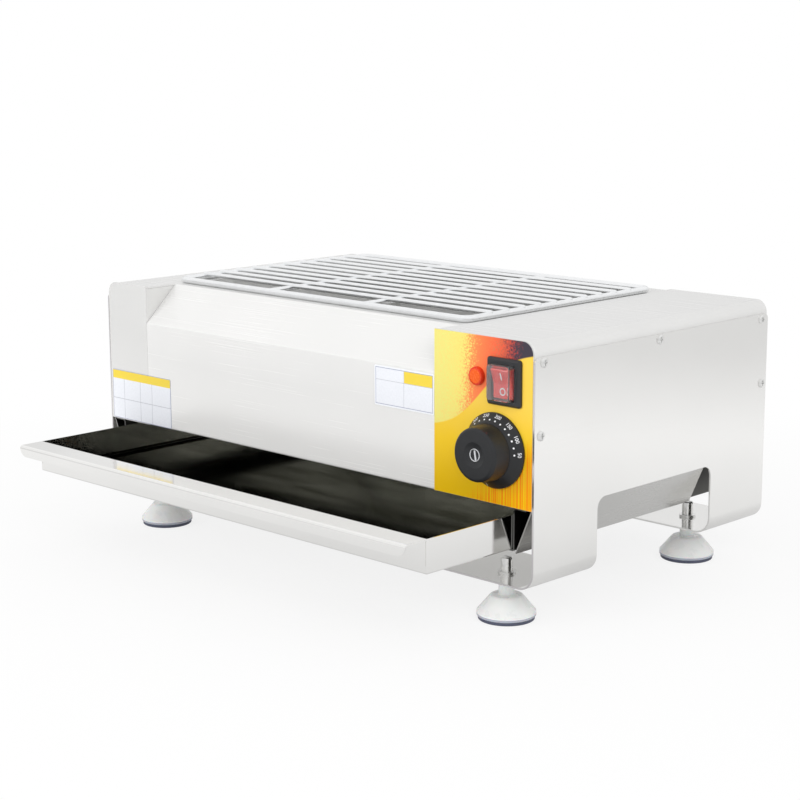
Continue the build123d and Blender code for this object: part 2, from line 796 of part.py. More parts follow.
def switch_housing():
    """The bezel and the body of the power switch, hollow for the rocker."""
    centre = switch_centre
    front = overlay_front - bezel_depth
    bezel = block((centre - bezel_width / 2, centre + bezel_width / 2), (front, overlay_front),
                  (switch_height - bezel_height / 2, switch_height + bezel_height / 2))
    bezel = fillet(bezel.edges().filter_by(Axis.Y), 2.5)
    bezel = chamfer(bezel.faces().sort_by(Axis.Y)[0].edges(), bezel_bevel)
    window_half = cover_width / 2 + cover_gap
    window_high = cover_height / 2 + cover_gap
    window = block((centre - window_half, centre + window_half), (front - 1, overlay_front),
                   (switch_height - window_high, switch_height + window_high))
    body = block((centre - switch_body_width / 2, centre + switch_body_width / 2),
                 (overlay_front, overlay_front + switch_body_depth),
                 (switch_height - switch_body_height / 2, switch_height + switch_body_height / 2))
    half_width = rocker_width / 2 + rocker_side_gap
    half_height = rocker_height / 2 + rocker_end_gap
    cavity = block((centre - half_width, centre + half_width),
                   (overlay_front - 1, overlay_front + cavity_depth),
                   (switch_height - half_height, switch_height + half_height))
    pin_half = rocker_width / 2 + rocker_pin_length + 0.1
    pins = rod((centre - pin_half, rocker_pivot_y, switch_height),
               (centre + pin_half, rocker_pivot_y, switch_height), rocker_pin_radius + rocker_pin_gap)
    return (bezel - window) + body - cavity - pins


def switch_rocker():
    """The rocker: two faces that meet at a shallow angle, tilted to its off side."""
    half_height = rocker_height / 2
    outline = [(-rocker_rise, -half_height), (rocker_face_dip - rocker_rise, 0), (-rocker_rise, half_height),
               (1.5, half_height - 1.5), (rocker_heel, 3.0), (rocker_heel, -3.0), (1.5, -half_height + 1.5)]
    tilt = Rot(rocker_angle, 0, 0)
    body = along_x(polygon(outline), -rocker_width / 2, rocker_width / 2)
    body = fillet(body.edges().filter_by(Axis.X).group_by(Axis.Y)[0], 1.0)
    pin_half = rocker_width / 2 + rocker_pin_length
    body += rod((-pin_half, 0, 0), (pin_half, 0, 0), rocker_pin_radius)
    return Pos(switch_centre, rocker_pivot_y, switch_height) * (tilt * body)


def switch_cover():
    """The clear splash cap over the rocker."""
    half_width = cover_width / 2
    half_height = cover_height / 2
    outer = block((switch_centre - half_width, switch_centre + half_width),
                  (overlay_front - cover_front, overlay_front),
                  (switch_height - half_height, switch_height + half_height))
    outer = fillet(outer.edges().filter_by(Axis.Y), 3.0)
    outer = fillet(outer.faces().sort_by(Axis.Y)[0].edges(), 2.0)
    inner = block((switch_centre - half_width + cover_wall, switch_centre + half_width - cover_wall),
                  (overlay_front - cover_front + cover_wall, overlay_front + 1),
                  (switch_height - half_height + cover_wall, switch_height + half_height - cover_wall))
    inner = fillet(inner.edges().filter_by(Axis.Y), 3.0 - cover_wall)
    return outer - inner


def switch_blades():
    """The four terminals on the back of the switch."""
    back = overlay_front + switch_body_depth
    blades = []
    for dx in (-blade_spread, blade_spread):
        for dz in (-blade_drop, blade_drop):
            x = switch_centre + dx
            z = switch_height + dz
            blades.append(block((x - blade_thickness / 2, x + blade_thickness / 2),
                                (back, back + blade_length), (z - blade_width / 2, z + blade_width / 2)))
    return Part() + blades


def lamp_lens():
    """The orange lens of the pilot lamp."""
    outline = [(0, 0), (lamp_lens_radius, 0), (lamp_lens_radius, lamp_rim), (lamp_dome_radius, lamp_rim),
               (lamp_dome_radius, lamp_rim + lamp_dome_height * 0.6),
               (lamp_dome_radius * 0.75, lamp_rim + lamp_dome_height * 0.9),
               (0, lamp_rim + lamp_dome_height)]
    return revolved(outline, (lamp_centre, overlay_front, lamp_height), (0, -1, 0))


def lamp_body():
    """The barrel of the pilot lamp behind the panel, with a ring that grips the plate."""
    def barrel(front, depth, radius):
        return rod((lamp_centre, front, lamp_height), (lamp_centre, front + depth, lamp_height), radius)

    return (barrel(overlay_front, lamp_body_depth, lamp_body_radius)
            + barrel(panel_back, lamp_ring_depth, lamp_body_radius + lamp_ring))


def hexagon_prism(centre, direction, corner_radius, height, bore_radius):
    nut = extrude(RegularPolygon(corner_radius, 6), amount=height)
    nut -= Cylinder(bore_radius, height, align=(Align.CENTER, Align.CENTER, Align.MIN))
    return Plane(origin=centre, z_dir=direction) * nut


def cable_gland():
    """The gland that the mains lead would pass, with its bore left open."""
    centre = (gland_centre, back_y, gland_height)
    nut = hexagon_prism(centre, (0, 1, 0), gland_hex_radius, gland_hex_height, gland_bore_radius)
    dome_outline = [(gland_bore_radius, gland_hex_height), (gland_thread_radius + 2, gland_hex_height),
                    (gland_thread_radius + 1.5, gland_reach - 3), (gland_thread_radius - 1.5, gland_reach),
                    (gland_bore_radius, gland_reach)]
    dome = revolved(dome_outline, centre, (0, 1, 0))
    thread = rod((gland_centre, back_y - gland_inner_length, gland_height), centre, gland_thread_radius)
    thread -= rod((gland_centre, back_y - gland_inner_length - 1, gland_height), centre, gland_bore_radius)
    return nut + dome + thread


def gland_locknut():
    return hexagon_prism((gland_centre, back_y - casing_sheet, gland_height), (0, -1, 0),
                         gland_hex_radius, locknut_height, gland_thread_radius + moulded_gap)


def terminal_block():
    """The ceramic block with three wire ways and their screw holes."""
    x, y = block_centre
    body = block((x - block_length / 2, x + block_length / 2), (y - block_width / 2, y + block_width / 2),
                 (wall_bottom, wall_bottom + block_height))
    body = fillet(body.edges().filter_by(Axis.Z), 2)
    for index in (-1, 0, 1):
        way_x = x + index * way_pitch
        body -= rod((way_x, y - block_width, wall_bottom + block_height / 2),
                    (way_x, y + block_width, wall_bottom + block_height / 2), block_bore)
        for dy in (-block_width / 4, block_width / 4):
            body -= rod((way_x, y + dy, wall_bottom + block_height / 2),
                        (way_x, y + dy, wall_bottom + block_height + 1), block_screw_bore)
    return body


def earth_stud():
    """The earthing stud on the floor of the control box with its two nuts."""
    x = block_centre[0]
    y = back_y - earth_to_back
    stud = rod((x, y, wall_bottom), (x, y, wall_bottom + earth_height), earth_radius)
    nuts = [hexagon_prism((x, y, z), (0, 0, 1), earth_nut_radius, earth_nut_height,
                          earth_radius + moulded_gap)
            for z in (wall_bottom, wall_bottom + earth_nut_height + 0.5)]
    return Part() + [stud] + nuts


def wire(points):
    route = FilletPolyline(*points, radius=wire_bend)
    section = Plane(origin=route @ 0, z_dir=route % 0) * Circle(wire_radius)
    return sweep(section, path=route)


def wiring():
    """The insulated leads inside the control box, from piece to piece."""
    way_z = wall_bottom + block_height / 2
    block_front = block_centre[1] - block_width / 2 - wire_end_gap
    blade_back = overlay_front + switch_body_depth + blade_length + wire_end_gap
    pin_end = opening_right + firebox_sheet + element_tail + element_pin_length + wire_end_gap
    body_back = panel_back + thermostat_bracket + thermostat_depth + wire_end_gap
    lamp_back = overlay_front + lamp_body_depth + wire_end_gap
    way_x = [block_centre[0] + index * way_pitch for index in (-1, 0, 1)]
    blade_z = switch_height - blade_drop
    blades = (switch_centre - blade_spread, switch_centre + blade_spread)
    front = element_legs["front"]
    rear = element_legs["rear"]
    switch_run = block_front - switch_lead_run
    blade_run = blade_back + blade_lead_run
    body_run = body_back + body_lead_run
    pin_run = pin_end + pin_lead_run
    block_run = block_front - block_lead_run
    dial_low = dial_height - terminal_spread
    dial_high = dial_height + terminal_spread
    leads = [
        [(way_x[2], block_front, way_z), (way_x[2], switch_run, way_z), (blades[1], switch_run, blade_z),
         (blades[1], blade_back, blade_z)],
        [(blades[0], blade_back, blade_z), (blades[0], blade_run, blade_z),
         (dial_centre + terminal_spread, blade_run, dial_high),
         (dial_centre + terminal_spread, body_back, dial_high)],
        [(dial_centre - terminal_spread, body_back, dial_low),
         (dial_centre - terminal_spread, body_run, dial_low),
         (pin_run + pin_lead_step, body_run, element_height),
         (pin_run + pin_lead_step, front[0], element_height), (pin_end, front[0], element_height)],
        [(pin_end, front[1], element_height), (pin_run, front[1], element_height),
         (pin_run, rear[1], element_height), (pin_end, rear[1], element_height)],
        [(pin_end, rear[0], element_height), (pin_run + 2 * pin_lead_step, rear[0], element_height),
         (way_x[1], block_run, way_z), (way_x[1], block_front, way_z)],
        [(lamp_centre, lamp_back, lamp_height), (lamp_centre, lamp_back + lamp_lead_run, lamp_height),
         (way_x[0], block_run - 2 * pin_lead_step, way_z), (way_x[0], block_front, way_z)],
    ]
    return Part() + [wire(points) for points in leads]


def foot_nuts():
    """The four nuts welded on the leg flanges."""
    low = leg_underside + side_sheet
    nuts = []
    for x, y in foot_places.values():
        start = (x, y, low)
        end = (x, y, low + nut_height)
        nuts.append(rod(start, end, nut_radius) - rod(start, end, stud_radius + thread_gap))
    return Part() + nuts


def foot_stud(x, y):
    """The screw of a foot, with a slot across its top."""
    stud = rod((x, y, cone_bottom), (x, y, stud_top), stud_radius)
    stud = chamfer(stud.edges().group_by(Axis.Z)[-1], 0.8)
    return stud - block((x - stud_radius, x + stud_radius), (y - stud_slot / 2, y + stud_slot / 2),
                        (stud_top - 2, stud_top + 1))


def foot_base(x, y):
    """The moulded cone of a foot and the neck round its screw."""
    neck_top = leg_underside - neck_gap
    outline = [(0, pad_height), (foot_radius - 0.6, pad_height), (foot_radius, pad_height + 0.6),
               (foot_radius, cone_bottom), (cone_top_radius + 1.2, cone_top - 0.8),
               (cone_top_radius, cone_top), (neck_radius + 0.8, cone_top), (neck_radius, cone_top + 0.8),
               (neck_radius, neck_top), (0, neck_top)]
    base = revolved(outline, (x, y, 0), (0, 0, 1))
    return base - rod((x, y, cone_bottom), (x, y, neck_top + 1), stud_radius + moulded_gap)


def foot_pad(x, y):
    """The rubber disc under a foot."""
    pad = rod((x, y, 0), (x, y, pad_height), foot_radius - pad_inset)
    return fillet(pad.edges().group_by(Axis.Z)[0], 1.0)


def all_parts():
    """Every sub-part under its name."""
    right_plate = side_plate()
    right_screws = side_screws()
    right_rail = tray_rail()
    right_skirt = tray_skirt()
    parts = {
        "left_end_cover": end_cover(-1),
        "right_end_cover": end_cover(1),
        "middle_shell": middle_shell(),
        "left_front_plate": front_plate(-1),
        "control_plate": control_plate(),
        "rear_panel": rear_panel(),
        "side_plate_right": right_plate,
        "side_plate_left": mirrored(right_plate),
        "side_screws_right": right_screws,
        "side_screws_left": mirrored(right_screws),
        "firebox_left_wall": firebox_side_wall(-1),
        "firebox_right_wall": firebox_side_wall(1),
        "firebox_front_wall": firebox_long_wall(-1),
        "firebox_rear_wall": firebox_long_wall(1),
        "reflector_front": reflector(-1),
        "reflector_rear": reflector(1),
        "left_box_floor": box_floor(-1),
        "control_box_floor": box_floor(1),
        "heating_element_front": heating_element(element_legs["front"]),
        "heating_element_rear": heating_element(element_legs["rear"]),
        "element_bushes": element_bushes(),
        "element_supports": element_supports(),
        "tray_rail_right": right_rail,
        "tray_rail_left": mirrored(right_rail),
        "tray_skirt_right": right_skirt,
        "tray_skirt_left": mirrored(right_skirt),
        "drip_tray": drip_tray(),
        "grate": grate(),
        "control_overlay": control_overlay(),
        "dial_skirt": dial_skirt(),
        "thermostat_knob": thermostat_knob(),
        "thermostat_shaft": thermostat_shaft(),
        "thermostat_body": thermostat_body(),
        "thermostat_screws": thermostat_screws(),
        "thermostat_sensor": thermostat_sensor(),
        "switch_housing": switch_housing(),
        "switch_rocker": switch_rocker(),
        "switch_cover": switch_cover(),
        "switch_blades": switch_blades(),
        "lamp_lens": lamp_lens(),
        "lamp_body": lamp_body(),
        "cable_gland": cable_gland(),
        "gland_locknut": gland_locknut(),
        "terminal_block": terminal_block(),
        "earth_stud": earth_stud(),
        "wiring": wiring(),
        "foot_nuts": foot_nuts(),
    }
    for place, (x, y) in foot_places.items():
        parts["foot_stud_" + place] = foot_stud(x, y)
        parts["foot_base_" + place] = foot_base(x, y)
        parts["foot_pad_" + place] = foot_pad(x, y)
    return parts


for name, part in all_parts().items():
    export_step(part, "parts/" + name + ".step")
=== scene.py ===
import math

import bmesh
import bpy
from mathutils import Matrix, Vector


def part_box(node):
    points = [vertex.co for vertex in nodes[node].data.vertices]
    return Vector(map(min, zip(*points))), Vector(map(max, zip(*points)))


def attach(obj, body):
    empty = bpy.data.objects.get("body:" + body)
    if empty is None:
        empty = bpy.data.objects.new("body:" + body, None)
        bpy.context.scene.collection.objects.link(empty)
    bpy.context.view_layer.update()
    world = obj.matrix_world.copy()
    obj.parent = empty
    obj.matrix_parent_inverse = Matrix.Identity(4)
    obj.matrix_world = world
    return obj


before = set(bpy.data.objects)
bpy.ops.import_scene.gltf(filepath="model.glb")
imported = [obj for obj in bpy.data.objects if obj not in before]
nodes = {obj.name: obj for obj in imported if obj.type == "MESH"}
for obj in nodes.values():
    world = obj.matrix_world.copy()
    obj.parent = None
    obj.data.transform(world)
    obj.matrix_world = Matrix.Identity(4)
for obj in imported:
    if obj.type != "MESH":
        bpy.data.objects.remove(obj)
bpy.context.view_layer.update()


def corner(node):
    """Lowest and highest corner of a CAD node, in metres."""
    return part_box(node)


# Places read from the CAD nodes of model.glb
film_low, film_high = corner("control_overlay")
skirt_low, skirt_high = corner("dial_skirt")
knob_front_y = corner("thermostat_knob")[0].y
front_y = corner("middle_shell")[0].y
side_front_y = corner("side_plate_right")[0].y
dial_x = (skirt_low.x + skirt_high.x) / 2
dial_z = (skirt_low.z + skirt_high.z) / 2


# Material helpers
def new_material(name):
    mat = bpy.data.materials.new(name)
    mat.use_nodes = True
    tree = mat.node_tree
    tree.nodes.clear()
    out = tree.nodes.new("ShaderNodeOutputMaterial")
    shader = tree.nodes.new("ShaderNodeBsdfPrincipled")
    tree.links.new(shader.outputs["BSDF"], out.inputs["Surface"])
    return mat, tree, shader


def coordinates(tree, kind="Object"):
    """Coordinates as one vector, object coordinates in metres unless the kind says otherwise."""
    return tree.nodes.new("ShaderNodeTexCoord").outputs[kind]


def axes(tree, vector):
    """The X, Y and Z of a vector."""
    split = tree.nodes.new("ShaderNodeSeparateXYZ")
    tree.links.new(vector, split.inputs["Vector"])
    return split.outputs


def place(tree, scale=(1, 1, 1)):
    """Object coordinates stretched along each axis."""
    mapping = tree.nodes.new("ShaderNodeMapping")
    mapping.inputs["Scale"].default_value = scale
    tree.links.new(coordinates(tree), mapping.inputs["Vector"])
    return mapping.outputs["Vector"]


def noise(tree, vector, scale, detail=3.0, rough=0.5):
    """Noise from 0 to 1, most of it between 0.3 and 0.7."""
    node = tree.nodes.new("ShaderNodeTexNoise")
    node.inputs["Scale"].default_value = scale
    node.inputs["Detail"].default_value = detail
    node.inputs["Roughness"].default_value = rough
    tree.links.new(vector, node.inputs["Vector"])
    return node.outputs["Fac"]


def ramp(tree, factor, stops):
    """Colours blended between stops of a position and a colour."""
    stops = list(stops)
    node = tree.nodes.new("ShaderNodeValToRGB")
    tree.links.new(factor, node.inputs["Fac"])
    elements = node.color_ramp.elements
    while len(elements) < len(stops):
        elements.new(0.5)
    for element, (position, colour) in zip(elements, stops):
        element.position = position
        element.color = (*colour, 1.0)
    return node.outputs["Color"]


def spread(tree, factor, low, high, start=0.3, end=0.7):
    """Map a factor from its usual span to a span of values."""
    node = tree.nodes.new("ShaderNodeMapRange")
    tree.links.new(factor, node.inputs["Value"])
    for name, value in (("From Min", start), ("From Max", end), ("To Min", low), ("To Max", high)):
        node.inputs[name].default_value = value
    return node.outputs["Result"]


def bump(tree, height, shader, strength, distance):
    """Fine relief on a shader, its distance in metres."""
    node = tree.nodes.new("ShaderNodeBump")
    node.inputs["Strength"].default_value = strength
    node.inputs["Distance"].default_value = distance
    tree.links.new(height, node.inputs["Height"])
    tree.links.new(node.outputs["Normal"], shader.inputs["Normal"])


def math_node(tree, operation, first, second=None):
    """One operation on numbers or sockets."""
    node = tree.nodes.new("ShaderNodeMath")
    node.operation = operation
    for index, value in enumerate((first, second)):
        if value is None:
            continue
        if isinstance(value, (int, float)):
            node.inputs[index].default_value = value
        else:
            tree.links.new(value, node.inputs[index])
    return node.outputs["Value"]


def mix_colours(tree, factor, first, second):
    """The first colour at a factor of 0, the second at 1; each is a tuple or a socket."""
    node = tree.nodes.new("ShaderNodeMix")
    node.data_type = "RGBA"
    tree.links.new(factor, node.inputs["Factor"])
    for value, socket in ((first, node.inputs["A"]), (second, node.inputs["B"])):
        if isinstance(value, tuple):
            socket.default_value = (*value, 1.0)
        else:
            tree.links.new(value, socket)
    return node.outputs["Result"]


def within(tree, low, high):
    """1 between two corners in object coordinates, 0 outside; None leaves a side open."""
    xyz = axes(tree, coordinates(tree))
    share = None
    for axis, start, end in zip("XYZ", low, high):
        for limit, operation in ((start, "GREATER_THAN"), (end, "LESS_THAN")):
            if limit is None:
                continue
            test = math_node(tree, operation, xyz[axis], limit)
            share = test if share is None else math_node(tree, "MULTIPLY", share, test)
    return share


GRAIN_ALONG = 6.0
GRAIN_ACROSS = 1500.0


def steel(name, tone, rough, grain_axis="x", grain=0.05, colour_change=0.03, zones=(), metallic=1.0,
          marks=0.03):
    """Stainless sheet: a fine grain along one axis, soft handling marks and a slightly uneven tone,
    with another tone in each zone between two corners."""
    mat, tree, shader = new_material(name)
    shader.inputs["Metallic"].default_value = metallic
    scale = tuple(GRAIN_ALONG if axis == grain_axis else GRAIN_ACROSS for axis in "xyz")
    fine = noise(tree, place(tree, scale), 1.0, 4.0, 0.6)
    broad = noise(tree, place(tree), 9.0, 2.0)
    low = tuple(c - colour_change for c in tone)
    colour = ramp(tree, broad, [(0.3, low), (0.7, tone)])
    for zone, zone_tone in zones:
        colour = mix_colours(tree, within(tree, *zone), colour, zone_tone)
    tree.links.new(colour, shader.inputs["Base Color"])
    total = math_node(tree, "ADD", spread(tree, fine, rough - grain, rough + grain),
                      spread(tree, broad, -0.5 * marks, marks))
    tree.links.new(total, shader.inputs["Roughness"])
    bump(tree, fine, shader, 0.10, 0.00004)
    return mat


def painted(mat):
    """Tree, shader and present colour socket of a finished material."""
    shader = next(n for n in mat.node_tree.nodes if n.type == "BSDF_PRINCIPLED")
    return mat.node_tree, shader, shader.inputs["Base Color"].links[0].from_socket


BLOTCH_SCALE = (11, 48, 11)
BLOTCH_STOPS = (0.36, 0.66)


def paint_dark_reflection(mat, zone, tones, edge_tones):
    """Painted reflection in a zone of a steel sheet: a dark film of colour that stands in for the dark
    reflection of the body above, blotched along x between two tones; the edge tones hold at low angles."""
    tree, shader, unpainted_tone = painted(mat)
    blotches = noise(tree, place(tree, BLOTCH_SCALE), 1.0, 2.0)
    share = within(tree, *zone)
    film = ramp(tree, blotches, zip(BLOTCH_STOPS, tones))
    tree.links.new(mix_colours(tree, share, unpainted_tone, film), shader.inputs["Base Color"])
    edge = ramp(tree, blotches, zip(BLOTCH_STOPS, edge_tones))
    tree.links.new(mix_colours(tree, share, (1.0, 1.0, 1.0), edge), shader.inputs["Specular Tint"])


def paint_light_low(mat, z_low, z_high, tone):
    """Painted light: a little lighter towards the lower edge, between two heights, against the shade and dark
    reflection of the tray below.
    """
    tree, shader, plain_tone = painted(mat)
    share = spread(tree, axes(tree, coordinates(tree))["Z"], 1.0, 0.0, z_low, z_high)
    tree.links.new(mix_colours(tree, share, plain_tone, tone), shader.inputs["Base Color"])


def plastic(name, colour, rough, texture=900.0, strength=0.12, coat=0.0, specular=0.5):
    """Moulded plastic with a fine texture and slight unevenness of tone."""
    mat, tree, shader = new_material(name)
    vector = place(tree)
    fine = noise(tree, vector, texture, 3.0)
    broad = noise(tree, vector, 60.0, 2.0)
    low = tuple(c * 0.86 for c in colour)
    mix = ramp(tree, broad, [(0.3, low), (0.7, colour)])
    tree.links.new(mix, shader.inputs["Base Color"])
    tree.links.new(spread(tree, fine, rough - 0.06, rough + 0.06), shader.inputs["Roughness"])
    shader.inputs["Coat Weight"].default_value = coat
    shader.inputs["Coat Roughness"].default_value = 0.08
    shader.inputs["Specular IOR Level"].default_value = specular
    bump(tree, fine, shader, strength, 0.00008)
    return mat


def metal(name, colour, rough, texture=400.0, low_share=0.85, relief=0.15):
    """Small turned, plated or cast metal pieces."""
    mat, tree, shader = new_material(name)
    shader.inputs["Metallic"].default_value = 1.0
    vector = place(tree)
    fine = noise(tree, vector, texture, 3.0)
    low = tuple(c * low_share for c in colour)
    mix = ramp(tree, fine, [(0.3, low), (0.7, colour)])
    tree.links.new(mix, shader.inputs["Base Color"])
    tree.links.new(spread(tree, fine, rough - 0.05, rough + 0.07), shader.inputs["Roughness"])
    bump(tree, fine, shader, relief, 0.00006)
    return mat


def set_material(mat, *names):
    for name in names:
        mesh = nodes[name].data
        mesh.materials.clear()
        mesh.materials.append(mat)


# Steel sheets
tray_low, tray_high = corner("drip_tray")
rear_back_y = corner("rear_panel")[1].y
HALF_SHEET = 0.0005
TRAY_HANDLE_REACH = 0.0235
DARK_REFLECTION_HEIGHT = 0.004
CUT_EDGE_DEPTH = 0.0004
SKIRT_SHADE_DEPTH = 0.080
REAR_SKIN = 0.0011
ANYWHERE = (None, None, None)
tray_floor = ((tray_low.x + HALF_SHEET, tray_low.y + TRAY_HANDLE_REACH + HALF_SHEET, tray_low.z + HALF_SHEET),
              (tray_high.x - HALF_SHEET, tray_high.y - HALF_SHEET, tray_low.z + DARK_REFLECTION_HEIGHT))
side_edge_shade = (ANYWHERE, (None, side_front_y + CUT_EDGE_DEPTH, None))
skirt_front_shade = (ANYWHERE, (None, front_y + SKIRT_SHADE_DEPTH, None))
rear_inside_shade = (ANYWHERE, (None, rear_back_y - REAR_SKIN, None))
case_steel = steel("case_steel", (0.80, 0.797, 0.787), 0.23, "x", metallic=0.12)
# Painted light: the case is painted lighter towards its lower edge, just above the tray.
LIGHTEST_Z = 0.100
PLAIN_Z = 0.168
paint_light_low(case_steel, LIGHTEST_Z, PLAIN_Z, (0.93, 0.925, 0.91))
# Painted shade: a thin strip along the side plate's front cut edge is painted darker, as that edge lies in
# shadow.
side_steel = steel("side_steel", (0.91, 0.905, 0.89), 0.13, "y", grain=0.04,
                   zones=[(side_edge_shade, (0.66, 0.64, 0.65))], metallic=0.9)
# Painted shade: the skirt steel is set darker than the rest, as it sits in shadow behind the side plate; its
# front part is darker still, painted shade and painted reflection of the dark tray.
skirt_steel = steel("skirt_steel", (0.70, 0.695, 0.68), 0.22, "y",
                    zones=[(skirt_front_shade, (0.40, 0.395, 0.385))])
plate_steel = steel("plate_steel", (0.80, 0.797, 0.787), 0.18, "x", metallic=0.45)
wall_steel = steel("wall_steel", (0.90, 0.90, 0.89), 0.26, "x", metallic=0.3)
# Painted shade: the box floors and tray rails inside the body are painted near black.
inner_steel = steel("inner_steel", (0.17, 0.17, 0.165), 0.34, "x", grain=0.08, colour_change=0.05)
# Painted shade: the rear panel's inner face is painted dark, as shade inside the body.
rear_steel = steel("rear_steel", (0.90, 0.895, 0.88), 0.22, "x", zones=[(rear_inside_shade, (0.22, 0.22, 0.215))],
                   metallic=0.7)
tray_steel = steel("tray_steel", (0.91, 0.905, 0.89), 0.09, "x", grain=0.02, marks=0.06)
# Painted reflection: the tray floor is painted near black as the dark reflection of the body above it.
paint_dark_reflection(tray_steel, tray_floor, ((0.058, 0.058, 0.052), (0.080, 0.080, 0.072)),
      ((0.46, 0.46, 0.42), (0.64, 0.64, 0.58)))
bright_steel = steel("bright_steel", (0.88, 0.88, 0.87), 0.16, "x", grain=0.04)
set_material(case_steel, "left_end_cover", "right_end_cover", "middle_shell")
set_material(rear_steel, "rear_panel")
set_material(plate_steel, "left_front_plate", "control_plate")
set_material(side_steel, "side_plate_left", "side_plate_right")
set_material(skirt_steel, "tray_skirt_left", "tray_skirt_right")
set_material(tray_steel, "drip_tray")
set_material(wall_steel, "firebox_left_wall", "firebox_right_wall", "firebox_front_wall", "firebox_rear_wall")
set_material(inner_steel, "left_box_floor", "control_box_floor", "tray_rail_left", "tray_rail_right")
set_material(bright_steel, "reflector_front", "reflector_rear")

# Wire, rods and fasteners
set_material(metal("grate_wire", (0.93, 0.94, 0.95), 0.20, 120.0, 0.95, 0.05), "grate")
set_material(metal("element_tube", (0.17, 0.165, 0.16), 0.45, 500.0), "heating_element_front",
             "heating_element_rear")
fastener = metal("fastener_steel", (0.86, 0.86, 0.85), 0.28)
set_material(fastener, "side_screws_left", "side_screws_right", "element_bushes", "element_supports",
             "thermostat_screws", "foot_nuts", "earth_stud", "gland_locknut")
set_material(metal("brass_contacts", (0.78, 0.62, 0.32), 0.28), "switch_blades")
set_material(metal("copper_tube", (0.76, 0.44, 0.28), 0.30), "thermostat_sensor")
set_material(metal("thermostat_metal", (0.66, 0.66, 0.63), 0.36), "thermostat_body", "thermostat_shaft")

# Plastics, rubber and ceramic
black = plastic("black_plastic", (0.020, 0.021, 0.024), 0.42)
set_material(black, "switch_housing", "cable_gland")
set_material(plastic("knob_plastic", (0.021, 0.022, 0.024), 0.38, 700.0, 0.08,
                     specular=0.3), "thermostat_knob", "dial_skirt")
set_material(plastic("lead_sleeves", (0.30, 0.05, 0.04), 0.45), "wiring")
set_material(plastic("lamp_barrel", (0.10, 0.10, 0.10), 0.45), "lamp_body")
set_material(plastic("ceramic", (0.80, 0.77, 0.70), 0.25, 300.0, 0.05, 0.5), "terminal_block")

FOOT_PLACES = ("front_left", "front_right", "rear_left", "rear_right")
FOOT_RIM_TOP = 0.0052


def on_feet(mat, kind):
    """One material on the same piece of all four feet."""
    set_material(mat, *["foot_" + kind + "_" + spot for spot in FOOT_PLACES])


def foot_plastic():
    """Milky moulded plastic that lets a little light in, with a greyer rim."""
    mat, tree, shader = new_material("foot_plastic")
    vector = place(tree)
    cloud = noise(tree, vector, 90.0, 3.0)
    mix = ramp(tree, cloud, [(0.3, (0.86, 0.87, 0.86)), (0.7, (0.90, 0.91, 0.90))])
    rim = within(tree, ANYWHERE, (None, None, FOOT_RIM_TOP))
    colour = mix_colours(tree, rim, mix, (0.44, 0.465, 0.54))
    tree.links.new(colour, shader.inputs["Base Color"])
    tree.links.new(spread(tree, cloud, 0.24, 0.34), shader.inputs["Roughness"])
    shader.inputs["Subsurface Weight"].default_value = 0.15
    shader.inputs["Subsurface Scale"].default_value = 0.004
    shader.inputs["Coat Weight"].default_value = 0.4
    shader.inputs["Coat Roughness"].default_value = 0.12
    bump(tree, cloud, shader, 0.04, 0.0001)
    return mat


on_feet(plastic("foot_rubber", (0.085, 0.095, 0.145), 0.50, 500.0, 0.3), "pad")
on_feet(foot_plastic(), "base")
on_feet(metal("stud_steel", (0.90, 0.90, 0.89), 0.12), "stud")


def red_plastic():
    """Clear-coated red of the rocker, softly clouded, that lets a little light in."""
    mat, tree, shader = new_material("red_plastic")
    vector = place(tree)
    cloud = noise(tree, vector, 160.0, 2.0)
    mix = ramp(tree, cloud, [(0.3, (0.72, 0.010, 0.008)), (0.7, (0.92, 0.030, 0.022))])
    tree.links.new(mix, shader.inputs["Base Color"])
    tree.links.new(spread(tree, cloud, 0.16, 0.26), shader.inputs["Roughness"])
    shader.inputs["Subsurface Weight"].default_value = 0.2
    shader.inputs["Subsurface Scale"].default_value = 0.003
    shader.inputs["Coat Weight"].default_value = 0.6
    shader.inputs["Coat Roughness"].default_value = 0.06
    return mat


set_material(red_plastic(), "switch_rocker")


def clear_plastic():
    """Clear, slightly wavy plastic of the splash cap."""
    mat, tree, shader = new_material("clear_plastic")
    vector = place(tree)
    waves = noise(tree, vector, 220.0, 2.0)
    shader.inputs["Base Color"].default_value = (0.97, 0.98, 0.98, 1)
    shader.inputs["Transmission Weight"].default_value = 0.96
    shader.inputs["IOR"].default_value = 1.43
    tree.links.new(spread(tree, waves, 0.02, 0.10), shader.inputs["Roughness"])
    bump(tree, waves, shader, 0.25, 0.0003)
    return mat


set_material(clear_plastic(), "switch_cover")


LENS_RIM_INNER = 0.0052
LENS_RIM_OUTER = 0.0060


